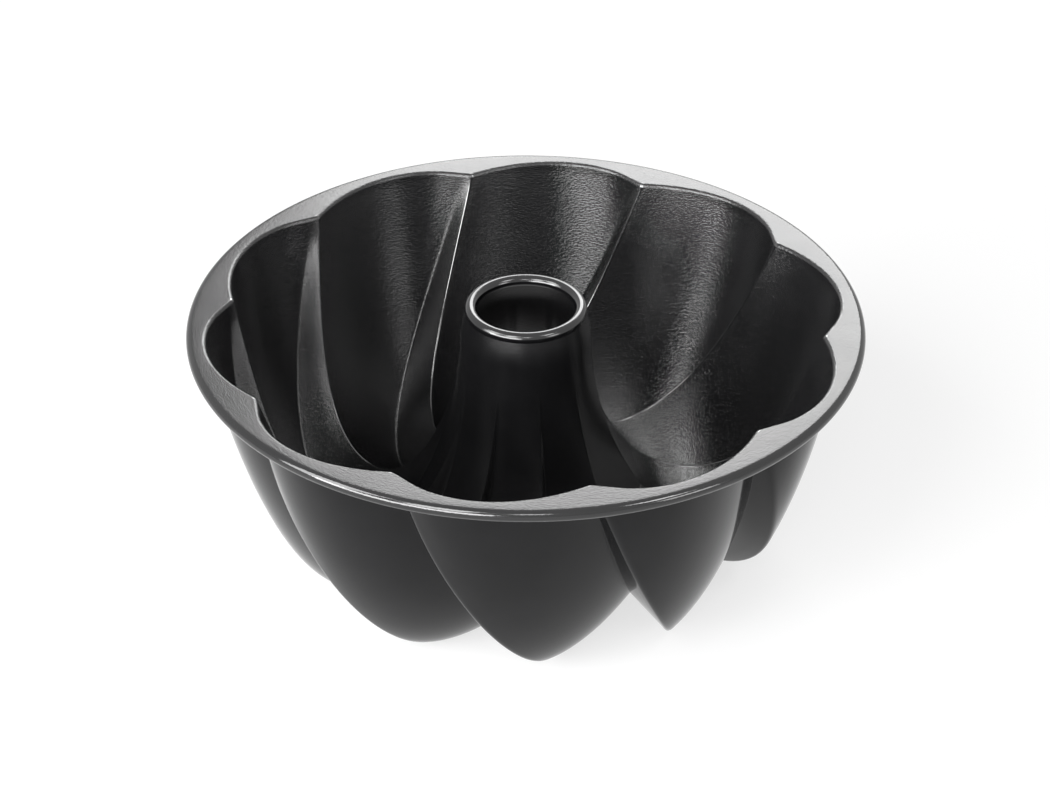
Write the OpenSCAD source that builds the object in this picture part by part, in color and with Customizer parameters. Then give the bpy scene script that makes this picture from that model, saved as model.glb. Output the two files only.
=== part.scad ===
// Fluted tube cake pan (bundt pan) in pressed steel, with a swirled ten-lobe shell, a flat scalloped
// flange, a wired rim and an open centre tube. Units are millimetres. The lowest points of the lobes
// lie on z = 0, and +Z runs up the axis of the tube.

/* [Overall] */
// Diameter across the outside of the rolled rim
pan_d = 250; // [235:1:265]
// Number of lobes round the pan
lobes = 10; // [8:1:12]
// Thickness of the steel sheet
sheet_t = 1; // [0.8:0.1:1.2]

/* [Rim] */
// Diameter of the wire inside the rolled rim
rim_wire_d = 2.2; // [1.8:0.1:2.8]
// Width of the flat flange at the middle of a lobe, from the crown of the rim roll inward
flange_w = 3.9; // [3.4:0.1:5]
// How much further in the flange reaches at a crest than at the middle of a lobe
scallop_depth = 9.6; // [8:0.1:12]
// Radius of the rounded shoulder where the flange turns down into the wall
shoulder_r = 1.6; // [1.4:0.1:2]

/* [Lobes] */
// Depth below the flange at which a crest lies lowest
crest_depth = 79; // [72:0.5:86]
// Depth below the flange at which the crease of a lobe lies lowest
crease_depth = 100; // [93:0.5:107]
// Radius at which a crest lies lowest
crest_low_r = 63.5; // [60:0.5:67]
// Radius at which a crease lies lowest
crease_low_r = 69.3; // [67:0.1:72]
// Angle through which a crest turns between the flange and the tube
swirl = 36; // [30:1:42]
// How far the broad face of a lobe bellies out at the flange
rim_belly = 7.6; // [6:0.1:9]
// How far the broad face of a lobe bellies down at the floor
floor_belly = 2; // [1:0.1:3]

/* [Tube] */
// Outside diameter of the centre tube at its lip
tube_d = 45.4; // [42:0.2:49]
// Height of the tube's lip above the top of the flange
tube_rise = 6; // [4:0.5:9]
// Depth below the flange at which the flutes of the tube run out
flute_end = 7; // [5:0.5:10]
// How much the tube widens from its lip to where the flutes run out, on the diameter
tube_taper = 3; // [2:0.1:4]
// Diameter of the wire inside the rolled lip
lip_wire_d = 2.2; // [1.8:0.1:2.6]
// Length of the lap where the foot of the tube is seamed under the floor of the shell
lap_w = 4; // [3:0.5:6]

/* [Fit] */
// Clearance all round each wire inside its roll
wire_clearance = 0.2; // [0.15:0.05:0.3]
// Clearance between the lapped sheets at the seam
lap_clearance = 0.1; // [0.05:0.05:0.15]

/* [Hidden] */
$fn = 96;

pitch = 360 / lobes;
// Direction of the first crest at the flange, seen from above
first_crest = 29.4;
roll_r = rim_wire_d / 2 + wire_clearance + sheet_t;
roll_c = pan_d / 2 - roll_r;
lip_r = lip_wire_d / 2 + wire_clearance + sheet_t;
lip_c = tube_d / 2 - lip_r;
mid_r = roll_c - flange_w;
cusp_r = mid_r - scallop_depth;
tube_r = tube_d / 2 + tube_taper / 2;

// Columns and rows of the pressed surface
narrow_n = 1;
broad_n = 8;
shell_rows = 14;
tube_rows = 7;
// Share of the way from flange to tube at which the tube is seamed to the shell
seam = 0.66;
// The lip stands this far out over the wall of the tube under it
lip_step = 0.3;
// The pressed sheet of the flange ends this far inside the crown of the rim roll
flange_end = 0.8;
// Height of the plain ring under the lip roll
lip_land = 1;
// Width of the narrow facet beside a crest at the flange, as an angle
facet_turn = 2;
// How far the broad faces of the tube belly, and how much every belly leans towards its crease
tube_belly = 0.5;
belly_lean = 0.25;

// A point part of the way from a to b, by its own share in each direction
function between(a, b, f) = [for (i = [0:2]) a[i] + (b[i] - a[i]) * f[i]];
function bezier(a, b, c, d, u) =
    a * pow(1 - u, 3) + 3 * b * u * pow(1 - u, 2) + 3 * c * u * u * (1 - u) + d * pow(u, 3);
// A rail is two curves that meet at its lowest point: down the wall, then in and up the tube
function rail(p, t) =
    t < 0.5 ? bezier(p[0], p[1], p[2], p[3], 2 * t) : bezier(p[3], p[4], p[5], p[6], 2 * t - 1);

// Points of a rail are [radius, height over the flange, angle turned]
crest_top = [cusp_r, -shoulder_r, 0];
crest_low = [crest_low_r, -crest_depth, swirl * 0.67];
crest_end = [tube_r, -flute_end, swirl];
crest = [
    crest_top,
    between(crest_top, crest_low, [0.17, 0.35, 0.18]),
    between(crest_top, crest_low, [0.38, 0.99, 0.5]),
    crest_low,
    between(crest_low, crest_end, [0.57, -0.01, 1.08]),
    between(crest_low, crest_end, [0.98, 0.54, 0.96]),
    crest_end
];
crease_top = [cusp_r + 1.5, -shoulder_r, facet_turn];
crease_low = [crease_low_r, -crease_depth, swirl * 0.94];
crease_end = [tube_r, -flute_end, swirl + facet_turn];
crease = [
    crease_top,
    between(crease_top, crease_low, [0, 0.42, 0.15]),
    between(crease_top, crease_low, [0.33, 1, 0.66]),
    crease_low,
    between(crease_low, crease_end, [0.57, 0, 1]),
    between(crease_low, crease_end, [0.97, 0.54, 1]),
    crease_end
];
// How far the broad face bellies, along the same two curves
belly = [rim_belly, rim_belly * 0.54, floor_belly * 0.12, floor_belly, floor_belly, tube_belly, 0];

function unit(v) = v / norm(v);
function polar(p) = [p[0] * cos(p[2]), p[0] * sin(p[2]), p[1]];
function turned(p, a) = [p[0], p[1], p[2] + a];
// Direction in which a broad face bellies, square to the run of the rails
function away(t) =
    let (d = rail(crest, t + 0.01) + rail(crease, t + 0.01) - rail(crest, t - 0.01) - rail(crease, t - 0.01))
    unit([-d[1], d[0]]);
// One lobe, from its crest over the narrow facet to the crease, then over the broad face
function lobe_row(t) =
    let (r = rail(crest, t), c = rail(crease, t), n = away(t), b = rail(belly, t))
    concat(
        [for (i = [0:narrow_n - 1]) r + (c - r) * i / narrow_n],
        [for (i = [0:broad_n - 1])
            let (w = i / broad_n, s = 4 * w * (1 - w) * (1 + belly_lean * (1 - 2 * w)) * b)
            c + (turned(r, pitch) - c) * w + [n[0] * s, n[1] * s, 0]]
    );
function full_row(row) =
    [for (k = [0:lobes - 1]) for (p = row) polar(turned(p, first_crest + k * pitch))];
// The scalloped edge of the flange, moved outward and up round the shoulder by angle a
function shoulder_row(a) =
    [for (p = lobe_row(0)) [p[0] + shoulder_r * (1 - cos(a)), -shoulder_r * (1 - sin(a)), p[2]]];
function ring_row(r, z) = [for (p = lobe_row(0)) [r, z, p[2]]];
function tube_ring(r, z) = [for (p = lobe_row(1)) [r, z, p[2]]];

// Corner between two runs of sheet: their mean direction, with its length the cosine of half the bend
function bend(a, b, c) = (unit(b - a) + unit(c - b)) / 2;
// The far side of the sheet: each point moved square to the surface, and further at a sharp bend
function offset_rows(g, t) =
    let (last = len(g) - 1, n = len(g[0]))
    [for (i = [0:last]) [for (j = [0:n - 1])
        let (
            p = g[i][j],
            round_run = bend(g[i][(j + n - 1) % n], p, g[i][(j + 1) % n]),
            down_run = i == 0 ? unit(g[1][j] - p)
                : i == last ? unit(p - g[last - 1][j])
                : bend(g[i - 1][j], p, g[i + 1][j]),
            out = unit(cross(down_run, round_run))
        )
        p + out * t / (norm(round_run) * norm(down_run))]];

function reversed(g) = [for (i = [len(g) - 1:-1:0]) g[i]];
// A closed sheet from rows that run once round its section
module sheet(rows) {
    n = len(rows[0]);
    m = len(rows);
    polyhedron(
        points = [for (row = rows) for (p = row) p],
        faces = [for (i = [0:m - 1]) for (j = [0:n - 1])
            let (a = i * n, b = (i + 1) % m * n, k = (j + 1) % n)
            for (f = [[a + j, b + k, a + k], [a + j, b + j, b + k]]) f]
    );
}

// Share of the rails' run that a length of sheet takes at the seam
function share(length) =
    length * 0.04 / norm(rail(crest, seam + 0.01) + rail(crease, seam + 0.01)
        - rail(crest, seam - 0.01) - rail(crease, seam - 0.01));
function surface_rows(stops) = [for (t = stops) full_row(lobe_row(t))];

lap_start = seam - share(lap_w);
butt = seam + share(lap_clearance);
joggle = share(sheet_t * 2.5);
plain_top = tube_rise - lip_r - lip_land;

shell_inside = concat(
    [full_row(ring_row(roll_c - flange_end, 0))],
    [for (a = [90, 45]) full_row(shoulder_row(a))],
    surface_rows([for (i = [0:shell_rows - 1]) lap_start * i / (shell_rows - 1)]),
    surface_rows([seam])
);
shell_offset = offset_rows(shell_inside, sheet_t);
shell_outside = concat(
    [full_row(ring_row(roll_c - flange_end, -sheet_t))],
    [for (i = [1:len(shell_offset) - 1]) shell_offset[i]]
);
// The tube carries on the shell's surface, and its foot steps down to lap under the shell
tube_inside = surface_rows([for (i = [0:tube_rows]) butt + joggle * min(i, 1)
    + (1 - butt - joggle) * max(i - 1, 0) / (tube_rows - 1)]);
tube_outside = offset_rows(tube_inside, sheet_t);
foot = surface_rows([lap_start, butt, butt + joggle / 2]);
foot_upper = offset_rows(foot, sheet_t + lap_clearance);
foot_lower = offset_rows(foot, 2 * sheet_t + lap_clearance);
low = min([for (row = shell_outside) for (p = row) p[2]]);

module on_flange() {
    translate([0, 0, -low]) children();
}

// Half-open roll of sheet round a wire: a ring section with the part between two angles left out
module roll_section(r, t, from, to) {
    difference() {
        circle(r);
        circle(r - t);
        polygon([[0, 0], [2 * r * cos(from), 2 * r * sin(from)],
            [3 * r * cos((from + to) / 2), 3 * r * sin((from + to) / 2)],
            [2 * r * cos(to), 2 * r * sin(to)]]);
    }
}

module fluted_shell() {
    color("dimgray") on_flange() {
        sheet(concat(shell_inside, reversed(shell_outside)));
        rotate_extrude() {
            translate([roll_c, -roll_r]) roll_section(roll_r, sheet_t, 90, 200);
            translate([roll_c - flange_end * 1.5, -sheet_t]) square([flange_end * 1.5, sheet_t]);
        }
    }
}

module centre_tube() {
    color("dimgray") on_flange() {
        sheet(concat(
            [foot_upper[0], foot_upper[1]],
            tube_inside,
            [full_row(tube_ring(tube_d / 2 - lip_step, plain_top))],
            [full_row(tube_ring(tube_d / 2 - lip_step - sheet_t, plain_top))],
            reversed([for (i = [1:tube_rows]) tube_outside[i]]),
            [foot_lower[2], foot_lower[0]]
        ));
        rotate_extrude() {
            translate([lip_c, tube_rise - lip_r]) roll_section(lip_r, sheet_t, 250, 360);
            translate([tube_d / 2 - sheet_t, plain_top]) square([sheet_t, lip_land]);
        }
    }
}

module rim_wire() {
    color("silver") on_flange()
        rotate_extrude() translate([roll_c, -roll_r]) circle(d = rim_wire_d);
}

module lip_wire() {
    color("silver") on_flange()
        rotate_extrude() translate([lip_c, tube_rise - lip_r]) circle(d = lip_wire_d);
}

fluted_shell();
centre_tube();
rim_wire();
lip_wire();
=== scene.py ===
"""A swirled, fluted bundt pan in dark non-stick steel on a pale floor. Lengths are in metres."""

import math

import bpy
import numpy as np
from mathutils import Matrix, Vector


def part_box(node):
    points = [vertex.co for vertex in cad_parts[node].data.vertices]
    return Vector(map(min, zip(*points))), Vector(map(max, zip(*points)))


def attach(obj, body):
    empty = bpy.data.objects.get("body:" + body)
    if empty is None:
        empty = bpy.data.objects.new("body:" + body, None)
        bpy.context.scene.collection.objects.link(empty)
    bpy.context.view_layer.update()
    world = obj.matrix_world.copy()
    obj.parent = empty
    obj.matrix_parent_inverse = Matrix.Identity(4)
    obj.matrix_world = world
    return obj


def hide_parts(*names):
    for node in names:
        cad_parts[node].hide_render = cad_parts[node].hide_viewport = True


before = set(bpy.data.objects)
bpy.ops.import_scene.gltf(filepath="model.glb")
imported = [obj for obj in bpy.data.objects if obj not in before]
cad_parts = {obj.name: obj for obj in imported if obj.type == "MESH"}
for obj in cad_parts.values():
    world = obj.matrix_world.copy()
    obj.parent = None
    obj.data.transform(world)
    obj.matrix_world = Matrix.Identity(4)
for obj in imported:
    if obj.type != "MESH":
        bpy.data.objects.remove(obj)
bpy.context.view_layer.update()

# Sizes of the pan, as in the part's source. Angles are in degrees.
PAN_R = 0.125
LOBES = 10
PITCH = 360 / LOBES
FIRST_CREST = 29.4
SHEET = 0.001
LAP_CLEARANCE = 0.0001
ROLL_R = 0.0023
ROLL_C = PAN_R - ROLL_R
ROLL_END = -160
FLANGE_W = 0.0039
FLANGE_END = 0.0008
SCALLOP_DEPTH = 0.0096
SHOULDER_R = 0.0016
SWIRL = 36
CREST_LOW = (0.0635, -0.079, SWIRL * 0.67)
CREASE_LOW = (0.0693, -0.1, SWIRL * 0.94)
FACET_W = 0.0015
FACET_TURN = 2
RIM_BELLY = 0.0076
FLOOR_BELLY = 0.002
TUBE_BELLY = 0.0005
BELLY_LEAN = 0.25
TUBE_R = 0.0242
FLUTE_END = 0.007
LIP_OUT_R = 0.0227
LIP_RISE = 0.006
LIP_R = 0.0023
LIP_C = (LIP_OUT_R - LIP_R, LIP_RISE - LIP_R)
LIP_STEP = 0.0003
LIP_END = 250
# Seam of tube and shell, its lap and its step, as shares of the way along the rails
SEAM = 0.66
LAP = 0.022
JOGGLE = 0.0137
# A short way along the rails, by which their direction is measured
RAIL_STEP = 0.01
FLANGE_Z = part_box("fluted_shell")[1][2]

# How the smooth skins round and join the pan's own sizes
CREST_ROUND = 0.0008
CREASE_ROUND = 0.0012
OUTER_CREST_ROUND = CREST_ROUND / 4
# The most that a rounding takes of the narrow facet and of the broad face
FACET_SHARE = 0.4
FACE_SHARE = 0.06
# How fast the tube narrows where its flutes end, and how fast it turns in under the lip
NECK_START = 0.024
NECK_STOP = 0.25

# Fineness of the pressed surface
COARSE = 8
FINE = 24
ARC_STEPS = (0.25, 0.5, 0.75)
FACET_STEPS = (0, 1 / 3, 2 / 3, 1)
SHOULDER_TURNS = (90, 75, 60, 45, 30, 15)
SHELL_ROWS = 76
TUBE_ROWS = 44
NECK_ROWS = 8
FOOT_ROWS = 8
FOOT_UPPER_ROWS = 6
# Rows of the tube's far side next to the seam, which the foot takes the place of
STEP_ROWS = 4
ROLL_STEPS = 26

# Finishes, in the order of the coating's materials
INSIDE, OUTSIDE, FLAT, BEAD, CREST_LINE = range(5)
# Columns of faces along a crest that are worn shiny
CREST_COLUMNS = (0, 1, 2 * len(ARC_STEPS) + len(FACET_STEPS) + FINE)

COATING_DARK = (0.0019, 0.0019, 0.0021, 1)
COATING_PALE = (0.005, 0.005, 0.0054, 1)
CLOUD_SCALE = 70
CLOUD_DETAIL = 4
GLOSS_SPREAD = 0.05
QUARTER_TURN = 0.25
# Heights between which the smoother coating of the floor turns into that of the walls
FLOOR_SMOOTH = (0.025, 0.055)
PEEL_SCALE = 2100
PEEL_DETAIL = 2
PEEL_DEPTH = 0.0002
# Length that a radian takes in the peel's pattern: a small one draws the peel out round the pan
PEEL_RADIAN = 0.045
WIRE_TONE = (0.45, 0.45, 0.46, 1)
WIRE_ROUGHNESS = 0.35
WIRE_GRAIN_SCALE = 900
WIRE_GRAIN_STRENGTH = 0.1
WIRE_GRAIN_DEPTH = 0.0001

FLOOR_SIZE = 6
FLOOR_TONE = (0.9, 0.9, 0.9, 1)
FLOOR_ROUGHNESS = 0.8
FLOOR_GLOW = 0.7
WORLD_LIGHT = 0.15
LIGHT_REACH = 1.35

CAMERA_DISTANCE = 1.15879
CAMERA_HEIGHT_ANGLE = math.radians(31.8225)
CAMERA_PITCH = math.radians(33.203)
CAMERA_SENSOR = 36
CAMERA_LENS = 107.68
CAMERA_SHIFT = -0.0008


def between(a, b, f):
    return tuple(p + (q - p) * w for p, q, w in zip(a, b, f))


# A rail runs from the flange down the wall, then in and up the tube. Its points, and the points
# of its two curves, are (radius, height over the flange, angle turned).
CUSP_R = ROLL_C - FLANGE_W - SCALLOP_DEPTH
CREST_TOP = (CUSP_R, -SHOULDER_R, 0)
CREST_END = (TUBE_R, -FLUTE_END, SWIRL)
CREASE_TOP = (CUSP_R + FACET_W, -SHOULDER_R, FACET_TURN)
CREASE_END = (TUBE_R, -FLUTE_END, SWIRL + FACET_TURN)
CREST = np.array([
    CREST_TOP,
    between(CREST_TOP, CREST_LOW, (0.17, 0.35, 0.18)),
    between(CREST_TOP, CREST_LOW, (0.38, 0.99, 0.5)),
    CREST_LOW,
    between(CREST_LOW, CREST_END, (0.57, -0.01, 1.08)),
    between(CREST_LOW, CREST_END, (0.98, 0.54, 0.96)),
    CREST_END,
])
CREASE = np.array([
    CREASE_TOP,
    between(CREASE_TOP, CREASE_LOW, (0, 0.42, 0.15)),
    between(CREASE_TOP, CREASE_LOW, (0.33, 1, 0.66)),
    CREASE_LOW,
    between(CREASE_LOW, CREASE_END, (0.57, 0, 1)),
    between(CREASE_LOW, CREASE_END, (0.97, 0.54, 1)),
    CREASE_END,
])
# How far the broad face bellies, along the same two curves
BELLY = np.array([
    [RIM_BELLY], [RIM_BELLY * 0.54], [FLOOR_BELLY * 0.12], [FLOOR_BELLY],
    [FLOOR_BELLY], [TUBE_BELLY], [0],
])


def bezier(p, u):
    u = u[:, None]
    v = 1 - u
    return p[0] * v**3 + 3 * p[1] * u * v**2 + 3 * p[2] * u * u * v + p[3] * u**3


def rail(points, t):
    """Two curves that meet at their lowest point: down the wall, then in and up the tube."""
    down = bezier(points[:4], np.clip(2 * t, None, 1))
    up = bezier(points[3:], np.clip(2 * t - 1, 0, None))
    return np.where((t < 0.5)[:, None], down, up)


def unit(v):
    return v / np.maximum(np.linalg.norm(v, axis=-1, keepdims=True), 1e-12)


def lobe_rows(t):
    """Rows of (radius, height, turn) over one lobe: crest, crease, then the broad face."""
    r, c, b = rail(CREST, t), rail(CREASE, t), rail(BELLY, t)[:, 0]
    ahead, behind = t + RAIL_STEP, t - RAIL_STEP
    run = rail(CREST, ahead) + rail(CREASE, ahead) - rail(CREST, behind) - rail(CREASE, behind)
    away = unit(run[:, :2])
    next_crest = r + np.array([0, 0, PITCH])
    cols = [r]
    for i in range(COARSE):
        w = i / COARSE
        s = 4 * w * (1 - w) * (1 + BELLY_LEAN * (1 - 2 * w)) * b
        bulge = np.stack([-away[:, 1] * s, away[:, 0] * s, 0 * s], 1)
        cols.append(c + (next_crest - c) * w + bulge)
    return np.stack(cols, 1)


def all_round(rows):
    """The rows of one lobe, repeated round the pan, as x, y and z."""
    turns = [np.array([0, 0, FIRST_CREST + k * PITCH]) for k in range(LOBES)]
    full = np.concatenate([rows + turn for turn in turns], 1)
    r, z, a = full[..., 0], full[..., 1], np.radians(full[..., 2])
    return np.stack([r * np.cos(a), r * np.sin(a), z + FLANGE_Z], -1)


def lobe_rings(profile, like):
    """Plain rings through (radius, height) points, over one lobe, with the turns of one row."""
    return np.stack([np.stack([0 * like + r, 0 * like + z, like], -1) for r, z in profile])


def full_rings(profile, like):
    """Plain rings through (radius, height) points, with their columns beside a finished row's."""
    a = np.arctan2(like[:, 1], like[:, 0])
    return np.stack([
        np.stack([r * np.cos(a), r * np.sin(a), 0 * a + z + FLANGE_Z], -1) for r, z in profile
    ])


def bend(a, b, c):
    return (unit(b - a) + unit(c - b)) / 2


def offset(g, depth):
    """The far side of the sheet: each point moved square to it, further at a sharp bend."""
    across = bend(np.roll(g, 1, 1), g, np.roll(g, -1, 1))
    down = np.empty_like(g)
    down[0] = unit(g[1] - g[0])
    down[-1] = unit(g[-1] - g[-2])
    down[1:-1] = bend(g[:-2], g[1:-1], g[2:])
    out = unit(np.cross(down, across))
    bends = [np.linalg.norm(run, axis=-1, keepdims=True) for run in (across, down)]
    return g + out * depth / (bends[0] * bends[1])


def along(points, u):
    """Points at shares u along smooth curves through evenly spaced points, one curve a row."""
    n = points.shape[1] - 1
    first = 2 * points[:, :1] - points[:, 1:2]
    last = 2 * points[:, -1:] - points[:, -2:-1]
    p = np.concatenate([first, points, last], 1)
    x = np.clip(u * n, 0, n)
    i = np.minimum(x.astype(int), n - 1)
    f = (x - i)[..., None]
    a, b, c, d = [np.take_along_axis(p, (i + k)[..., None], 1) for k in range(4)]
    square, cube = 2 * a - 5 * b + 4 * c - d, 3 * b - a - 3 * c + d
    return 0.5 * (2 * b + (c - a) * f + square * f**2 + cube * f**3)


def rounding(a, corner, b):
    """The inner columns of an arc from a to b that rounds the corner between them."""
    return [a * (1 - s) ** 2 + 2 * corner * s * (1 - s) + b * s * s for s in ARC_STEPS]


def refine(g, crest_d, crease_d):
    """Adds columns to a coarse surface and rounds its crests and creases."""
    per = COARSE + 1
    width = g.shape[1]
    broad = [g[:, [(k * per + j) % width for j in range(1, per + 1)]] for k in range(LOBES)]
    face = [np.linalg.norm(b[:, -1] - b[:, 0], axis=-1) for b in broad]
    out = []
    for k in range(LOBES):
        crest, crease = g[:, k * per], g[:, k * per + 1]
        facet = np.linalg.norm(crease - crest, axis=-1)
        from_crest = np.minimum(crest_d, FACET_SHARE * facet) / facet
        from_crease = np.minimum(crease_d, FACET_SHARE * facet) / facet
        start = np.minimum(crease_d / face[k], FACE_SHARE)
        stop = np.minimum(crest_d / face[k], FACE_SHARE)
        stop_before = np.minimum(crest_d / face[k - 1], FACE_SHARE)
        a = along(broad[k - 1], (1 - stop_before)[:, None])[:, 0]
        b = crest + (crease - crest) * from_crest[:, None]
        c = crest + (crease - crest) * (1 - from_crease)[:, None]
        d = along(broad[k], start[:, None])[:, 0]
        out += rounding(a, crest, b)
        out += [b + (c - b) * s for s in FACET_STEPS]
        out += rounding(c, crease, d)
        u = start[:, None] + (1 - stop - start)[:, None] * np.linspace(0, 1, FINE + 1)
        out += list(np.moveaxis(along(broad[k], u), 1, 0))
    return np.stack(out, 1)


def normals(g):
    """Normals of a smooth surface of rows that close on themselves."""
    across = unit(np.roll(g, -1, 1) - g) + unit(g - np.roll(g, 1, 1))
    down = np.gradient(g, axis=0)
    return unit(np.cross(across, down))


def arc(cr, cz, r, start, stop):
    """Points of (radius, height) round a roll."""
    angles = np.radians(np.linspace(start, stop, ROLL_STEPS + 1))
    return [(cr + r * math.cos(a), cz + r * math.sin(a)) for a in angles]


def mesh_object(name, strips, materials):
    """One object from strips of rows, with smooth normals and the finish of each row of faces."""
    verts, faces, norms, finish = [], [], [], []
    for g, n, rows in strips:
        m, c, _ = g.shape
        base = sum(len(v) for v in verts)
        verts.append(g.reshape(-1, 3))
        norms.append(n.reshape(-1, 3))
        i, j = np.meshgrid(np.arange(m - 1), np.arange(c), indexing="ij")
        k = (j + 1) % c
        corners = [i * c + k, (i + 1) * c + k, (i + 1) * c + j, i * c + j]
        faces.append(np.stack(corners, -1).reshape(-1, 4) + base)
        given = np.broadcast_to(rows, m - 1)[i]
        on_crest = (given == INSIDE) & np.isin(j % (c // LOBES), CREST_COLUMNS)
        finish.append(np.where(on_crest, CREST_LINE, given).ravel())
    mesh = bpy.data.meshes.new(name)
    mesh.from_pydata(np.concatenate(verts).tolist(), [], np.concatenate(faces).tolist())
    mesh.polygons.foreach_set("use_smooth", [True] * len(mesh.polygons))
    mesh.normals_split_custom_set_from_vertices(np.concatenate(norms).tolist())
    for material in materials:
        mesh.materials.append(material)
    mesh.polygons.foreach_set("material_index", np.concatenate(finish).tolist())
    mesh.update()
    obj = bpy.data.objects.new(name, mesh)
    bpy.context.scene.collection.objects.link(obj)
    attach(obj, "root")


def strip(rows, finish):
    return rows, normals(rows), finish


def new_material(name):
    made = bpy.data.materials.new(name)
    made.use_nodes = True
    return made, made.node_tree.nodes, made.node_tree.links


def math_node(nodes, links, operation, *values):
    """The output of a math node, from other nodes' outputs and plain numbers."""
    made = nodes.new("ShaderNodeMath")
    made.operation = operation
    for socket, value in zip(made.inputs, values):
        if isinstance(value, bpy.types.NodeSocket):
            links.new(value, socket)
        else:
            socket.default_value = value
    return made.outputs[0]


def map_range(nodes, links, value, **limits):
    """The output of a map range node, with its limits by name, such as to_min."""
    made = nodes.new("ShaderNodeMapRange")
    for name, limit in limits.items():
        made.inputs[name.replace("_", " ").title()].default_value = limit
    links.new(value, made.inputs["Value"])
    return made.outputs[0]


def bump_node(nodes, links, height, strength, depth):
    made = nodes.new("ShaderNodeBump")
    made.inputs["Strength"].default_value = strength
    made.inputs["Distance"].default_value = depth
    links.new(height, made.inputs["Height"])
    return made.outputs["Normal"]


def drawn_out_place(nodes, links, place):
    """Place in the peel's pattern, which is shorter round the pan, and the height in metres."""
    split = nodes.new("ShaderNodeSeparateXYZ")
    links.new(place, split.inputs[0])
    angle = math_node(nodes, links, "ARCTAN2", split.outputs["Y"], split.outputs["X"])
    level = nodes.new("ShaderNodeCombineXYZ")
    links.new(split.outputs["X"], level.inputs["X"])
    links.new(split.outputs["Y"], level.inputs["Y"])
    radius = nodes.new("ShaderNodeVectorMath")
    radius.operation = "LENGTH"
    links.new(level.outputs[0], radius.inputs[0])
    drawn = nodes.new("ShaderNodeCombineXYZ")
    turn = math_node(nodes, links, "MULTIPLY", angle, PEEL_RADIAN)
    for source, axis in ((turn, "X"), (split.outputs["Z"], "Y"), (radius.outputs["Value"], "Z")):
        links.new(source, drawn.inputs[axis])
    return drawn.outputs[0], split.outputs["Z"]


def nonstick_material(name, roughness, ior, drawn_out, peel, smoothing=1.0):
    """Near-black, faintly cloudy coating with a fine peel drawn out round the pan.

    drawn_out spreads its gloss up and down, peel is the strength of the peel, and smoothing is the
    share of the roughness that is left at the floor.
    """
    made, nodes, links = new_material(name)
    shader = nodes["Principled BSDF"]
    shader.inputs["Metallic"].default_value = 0.0
    shader.inputs["IOR"].default_value = ior
    shader.inputs["Anisotropic"].default_value = drawn_out
    shader.inputs["Anisotropic Rotation"].default_value = QUARTER_TURN
    around = nodes.new("ShaderNodeTangent")
    around.direction_type = "RADIAL"
    around.axis = "Z"
    links.new(around.outputs[0], shader.inputs["Tangent"])

    place = nodes.new("ShaderNodeTexCoord").outputs["Object"]
    peel_place, height = drawn_out_place(nodes, links, place)
    cloud = nodes.new("ShaderNodeTexNoise")
    cloud.inputs["Scale"].default_value = CLOUD_SCALE
    cloud.inputs["Detail"].default_value = CLOUD_DETAIL
    links.new(place, cloud.inputs["Vector"])
    least, most = roughness - GLOSS_SPREAD, roughness + GLOSS_SPREAD
    gloss = map_range(nodes, links, cloud.outputs["Fac"], to_min=least, to_max=most)
    bottom, top = FLOOR_SMOOTH
    low = map_range(nodes, links, height, from_min=bottom, from_max=top, to_min=smoothing)
    sheen = math_node(nodes, links, "MULTIPLY", gloss, low)
    links.new(sheen, shader.inputs["Roughness"])
    tone = nodes.new("ShaderNodeValToRGB")
    tone.color_ramp.elements[0].color = COATING_DARK
    tone.color_ramp.elements[1].color = COATING_PALE
    links.new(cloud.outputs["Fac"], tone.inputs["Fac"])
    links.new(tone.outputs[0], shader.inputs["Base Color"])

    grain = nodes.new("ShaderNodeTexNoise")
    grain.inputs["Scale"].default_value = PEEL_SCALE
    grain.inputs["Detail"].default_value = PEEL_DETAIL
    links.new(peel_place, grain.inputs["Vector"])
    normal = bump_node(nodes, links, grain.outputs["Fac"], peel, PEEL_DEPTH)
    links.new(normal, shader.inputs["Normal"])
    return made


def wire_material():
    made, nodes, links = new_material("steel_wire")
    shader = nodes["Principled BSDF"]
    shader.inputs["Base Color"].default_value = WIRE_TONE
    shader.inputs["Metallic"].default_value = 1.0
    shader.inputs["Roughness"].default_value = WIRE_ROUGHNESS
    grain = nodes.new("ShaderNodeTexNoise")
    grain.inputs["Scale"].default_value = WIRE_GRAIN_SCALE
    normal = bump_node(nodes, links, grain.outputs["Fac"], WIRE_GRAIN_STRENGTH, WIRE_GRAIN_DEPTH)
    links.new(normal, shader.inputs["Normal"])
    return made


def white_to_eye(nodes, links):
    """1 for rays from the eye, a mirror or clear glass, and 0 for the light that they bring."""
    seen = nodes.new("ShaderNodeLightPath").outputs
    mirror = math_node(nodes, links, "MAXIMUM", seen["Is Camera Ray"], seen["Is Glossy Ray"])
    return math_node(nodes, links, "MAXIMUM", mirror, seen["Is Transmission Ray"])


def floor_material():
    made, nodes, links = new_material("pale_floor")
    shader = nodes["Principled BSDF"]
    shader.inputs["Base Color"].default_value = FLOOR_TONE
    shader.inputs["Roughness"].default_value = FLOOR_ROUGHNESS
    shader.inputs["Specular IOR Level"].default_value = 0
    glow = nodes.new("ShaderNodeEmission")
    share = math_node(nodes, links, "MULTIPLY", white_to_eye(nodes, links), FLOOR_GLOW)
    lit = nodes.new("ShaderNodeMixShader")
    links.new(share, lit.inputs["Fac"])
    links.new(shader.outputs[0], lit.inputs[1])
    links.new(glow.outputs[0], lit.inputs[2])
    links.new(lit.outputs[0], nodes["Material Output"].inputs["Surface"])
    return made


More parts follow.
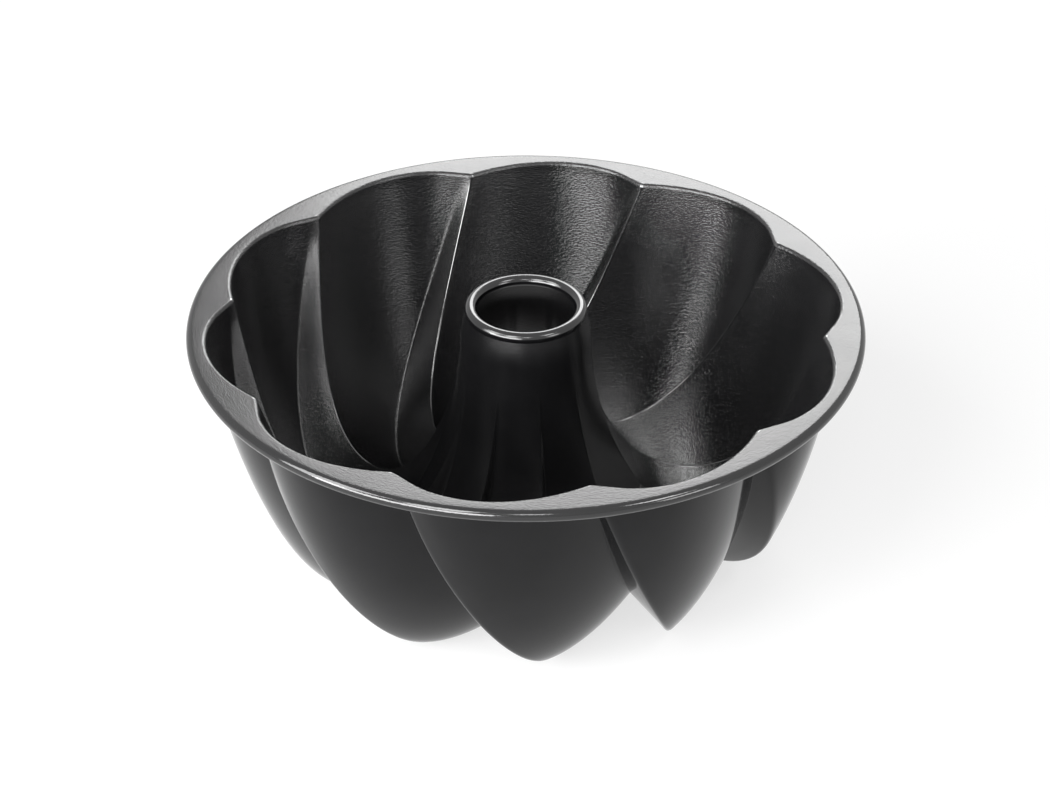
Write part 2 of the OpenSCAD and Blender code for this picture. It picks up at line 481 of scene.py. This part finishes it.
def neck_profile(neck_r, neck_z):
    """A smooth curve up from the end of the flutes to where the lip rolls out."""
    rise = FLUTE_END + neck_z
    profile = []
    for u in np.linspace(0, 1, NECK_ROWS + 1)[1:]:
        h = (2 * u**3 - 3 * u**2 + 1, u**3 - 2 * u**2 + u, 3 * u**2 - 2 * u**3, u**3 - u**2)
        r = h[0] * TUBE_R - h[1] * NECK_START * rise + h[2] * neck_r - h[3] * NECK_STOP * rise
        z = -h[0] * FLUTE_END + h[1] * rise + h[2] * neck_z + h[3] * rise
        profile.append((r, z))
    return profile


def build_pan():
    coating = [
        nonstick_material(
            "nonstick_inside", roughness=0.23, ior=1.62, drawn_out=0.6, peel=0.9, smoothing=0.5
        ),
        nonstick_material("nonstick_outside", roughness=0.1, ior=1.27, drawn_out=0, peel=0.02),
        nonstick_material("nonstick_flat", roughness=0.22, ior=1.5, drawn_out=0, peel=0.22),
        nonstick_material("nonstick_bead", roughness=0.1, ior=1.6, drawn_out=0, peel=0.1),
        nonstick_material("nonstick_crest", roughness=0.13, ior=2.0, drawn_out=0, peel=0.1),
    ]
    first, last = lobe_rows(np.array([0.0]))[0], lobe_rows(np.array([1.0]))[0]
    flange = lobe_rings([(ROLL_C - k * FLANGE_END, 0) for k in range(3)], first[:, 2])
    shoulder = np.stack([
        np.stack([
            first[:, 0] + SHOULDER_R * (1 - math.cos(a)),
            0 * first[:, 0] - SHOULDER_R * (1 - math.sin(a)),
            first[:, 2],
        ], -1)
        for a in np.radians(SHOULDER_TURNS)
    ])
    neck_r = LIP_OUT_R - LIP_STEP
    neck_z = LIP_C[1] - math.sqrt(LIP_R**2 - (neck_r - LIP_C[0]) ** 2)
    neck = lobe_rings(neck_profile(neck_r, neck_z), last[:, 2])
    wall = lobe_rows(np.linspace(0, SEAM, SHELL_ROWS))
    tube_wall = lobe_rows(np.linspace(SEAM, 1, TUBE_ROWS)[1:])
    coarse = all_round(np.concatenate([flange, shoulder, wall, tube_wall, neck]))
    seam = len(flange) + len(shoulder) + SHELL_ROWS - 1
    inside = refine(coarse, CREST_ROUND, CREASE_ROUND)
    outside = refine(offset(coarse, SHEET), OUTER_CREST_ROUND, CREASE_ROUND + SHEET)
    foot = all_round(lobe_rows(np.linspace(SEAM - LAP, SEAM + JOGGLE / 2, FOOT_ROWS)))
    foot_lower, foot_upper = [
        refine(offset(foot, depth + LAP_CLEARANCE), OUTER_CREST_ROUND, CREASE_ROUND)
        for depth in (2 * SHEET, SHEET)
    ]
    foot_upper = foot_upper[:FOOT_UPPER_ROWS]

    roll = arc(ROLL_C, -ROLL_R, ROLL_R, ROLL_END, 90)[:-1]
    roll_in = arc(ROLL_C, -ROLL_R, ROLL_R - SHEET, 90, ROLL_END)[1:]
    whole = np.concatenate([full_rings(roll, inside[0]), inside])
    whole_normals = normals(whole)
    cut = len(roll) + seam
    under = np.concatenate([outside[seam::-1], full_rings(roll_in, outside[0])])
    bead, level = len(roll) - 1, len(flange) + 1
    shell_finish = [BEAD] * bead + [FLAT] * level + [INSIDE] * (cut - bead - level)
    shell = [
        (whole[:cut + 1], whole_normals[:cut + 1], shell_finish),
        strip(under, OUTSIDE),
        strip(np.stack([inside[seam], outside[seam]]), OUTSIDE),
        strip(np.stack([under[-1], whole[0]]), OUTSIDE),
    ]
    mesh_object("pressed_shell", shell, coating)

    lip_start = -math.degrees(math.acos((neck_r - LIP_C[0]) / LIP_R))
    lip = full_rings(arc(*LIP_C, LIP_R, lip_start, LIP_END), inside[-1])
    lip_in = full_rings(arc(*LIP_C, LIP_R - SHEET, LIP_END, 0), outside[-1])
    bore = np.concatenate([lip_in, outside[:seam + STEP_ROWS - 1:-1], foot_lower[::-1]])
    tube = [
        (whole[cut:], whole_normals[cut:], FLAT),
        strip(lip, BEAD),
        strip(bore, FLAT),
        strip(np.stack([lip[-1], lip_in[0]]), OUTSIDE),
        strip(np.stack([foot_lower[0], foot_upper[0]]), OUTSIDE),
        strip(foot_upper, OUTSIDE),
        strip(np.stack([foot_upper[-1], inside[seam]]), OUTSIDE),
    ]
    mesh_object("drawn_tube", tube, coating)
    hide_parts("fluted_shell")
    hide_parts("centre_tube")


def build_wires():
    steel = wire_material()
    for name in ("rim_wire", "lip_wire"):
        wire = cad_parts[name]
        wire.data.materials.clear()
        wire.data.materials.append(steel)


def build_stage():
    bpy.ops.mesh.primitive_plane_add(size=FLOOR_SIZE)
    floor = bpy.context.object
    floor.name = "floor"
    floor.data.materials.append(floor_material())
    world = bpy.data.worlds.new("studio")
    bpy.context.scene.world = world
    world.use_nodes = True
    nodes, links = world.node_tree.nodes, world.node_tree.links
    back = nodes["Background"]
    shade = nodes.new("ShaderNodeMix")
    shade.data_type = "FLOAT"
    shade.inputs["A"].default_value = WORLD_LIGHT
    shade.inputs["B"].default_value = 1.0
    links.new(white_to_eye(nodes, links), shade.inputs["Factor"])
    links.new(shade.outputs["Result"], back.inputs["Strength"])
    back.inputs["Color"].default_value = (1, 1, 1, 1)


def soft_light(name, turn, height, size, power):
    """A softbox at LIGHT_REACH, turned from straight behind the pan and raised, in degrees."""
    a, e = math.radians(turn), math.radians(height)
    way = Vector((math.sin(a) * math.cos(e), math.cos(a) * math.cos(e), math.sin(e)))
    lamp = bpy.data.lights.new(name, "AREA")
    lamp.shape = "RECTANGLE"
    lamp.size, lamp.size_y = size
    lamp.energy = power
    obj = bpy.data.objects.new(name, lamp)
    obj.location = Vector((0, 0, FLANGE_Z / 2)) + way * LIGHT_REACH
    obj.rotation_euler = (-way).to_track_quat("-Z", "Y").to_euler()
    bpy.context.scene.collection.objects.link(obj)


def build_camera():
    camera = bpy.data.cameras.new("camera")
    camera.sensor_width = CAMERA_SENSOR
    camera.lens = CAMERA_LENS
    camera.shift_x = CAMERA_SHIFT
    obj = bpy.data.objects.new("camera", camera)
    back = CAMERA_DISTANCE * math.cos(CAMERA_HEIGHT_ANGLE)
    up = CAMERA_DISTANCE * math.sin(CAMERA_HEIGHT_ANGLE)
    obj.location = (0, -back, FLANGE_Z + up)
    obj.rotation_euler = (math.pi / 2 - CAMERA_PITCH, 0, 0)
    bpy.context.scene.collection.objects.link(obj)
    bpy.context.scene.camera = obj


build_pan()
build_wires()
build_stage()
soft_light("light_back", turn=7, height=31, size=(0.64, 0.48), power=7.4)
soft_light("light_front_left", turn=-142, height=16, size=(1.4, 0.5), power=32)
soft_light("light_high_left", turn=-150, height=45, size=(0.4, 0.6), power=8)
soft_light("light_high_front", turn=178, height=44, size=(0.2, 0.3), power=1.4)
soft_light("light_left", turn=-112, height=34, size=(0.5, 1.1), power=15)
soft_light("light_right", turn=130, height=20, size=(0.4, 0.4), power=3)
soft_light("light_high_right", turn=128, height=52, size=(0.3, 0.3), power=3)
build_camera()

bpy.context.scene.view_settings.view_transform = "Standard"
